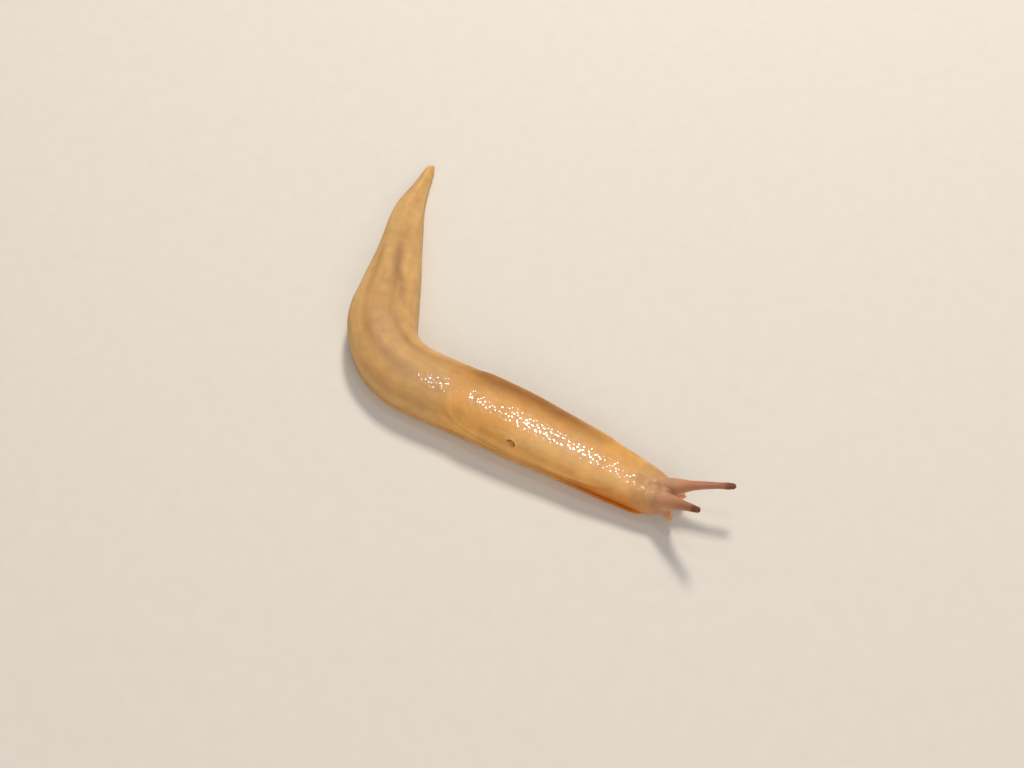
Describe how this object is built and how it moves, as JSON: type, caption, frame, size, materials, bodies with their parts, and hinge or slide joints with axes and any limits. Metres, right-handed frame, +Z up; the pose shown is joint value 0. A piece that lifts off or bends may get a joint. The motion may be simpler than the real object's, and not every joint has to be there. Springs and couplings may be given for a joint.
{
  "type": "ambigolimax slug",
  "caption": "Life-size model of a slug crawling round a bend on its flat foot, feelers out, with a mantle shield, breathing pore and keeled tail.",
  "frame": {"origin": "on the floor under the middle of the animal's box", "axes": "+X the way the head faces and the longest extent; +Y towards the animal's left and its tail; +Z up from the sole, the shortest extent"},
  "size_m": [0.0504, 0.0303, 0.0062],
  "materials": {
    "skin": "wet, translucent amber skin",
    "mantle_skin": "wet, translucent brown amber skin",
    "head_skin": "wet, translucent grey pink skin",
    "foot_skin": "wet, pale yellow skin",
    "eye": "glossy dark brown"
  },
  "bodies": {
    "root": {"tail": "skin", "trunk_rear": "skin", "trunk_bend_rear": "skin", "trunk_bend_front": "skin", "trunk_front": "skin", "mantle": "mantle_skin", "neck": "head_skin", "head": "head_skin", "tentacle_upper_left": "head_skin", "tentacle_upper_right": "head_skin", "tentacle_lower_left": "head_skin", "tentacle_lower_right": "head_skin", "eye_left": "eye", "eye_right": "eye", "foot_tail": "foot_skin", "foot_rear": "foot_skin", "foot_bend_rear": "foot_skin", "foot_bend_front": "foot_skin", "foot_middle": "foot_skin", "foot_front": "foot_skin"}
  },
  "joints": []
}
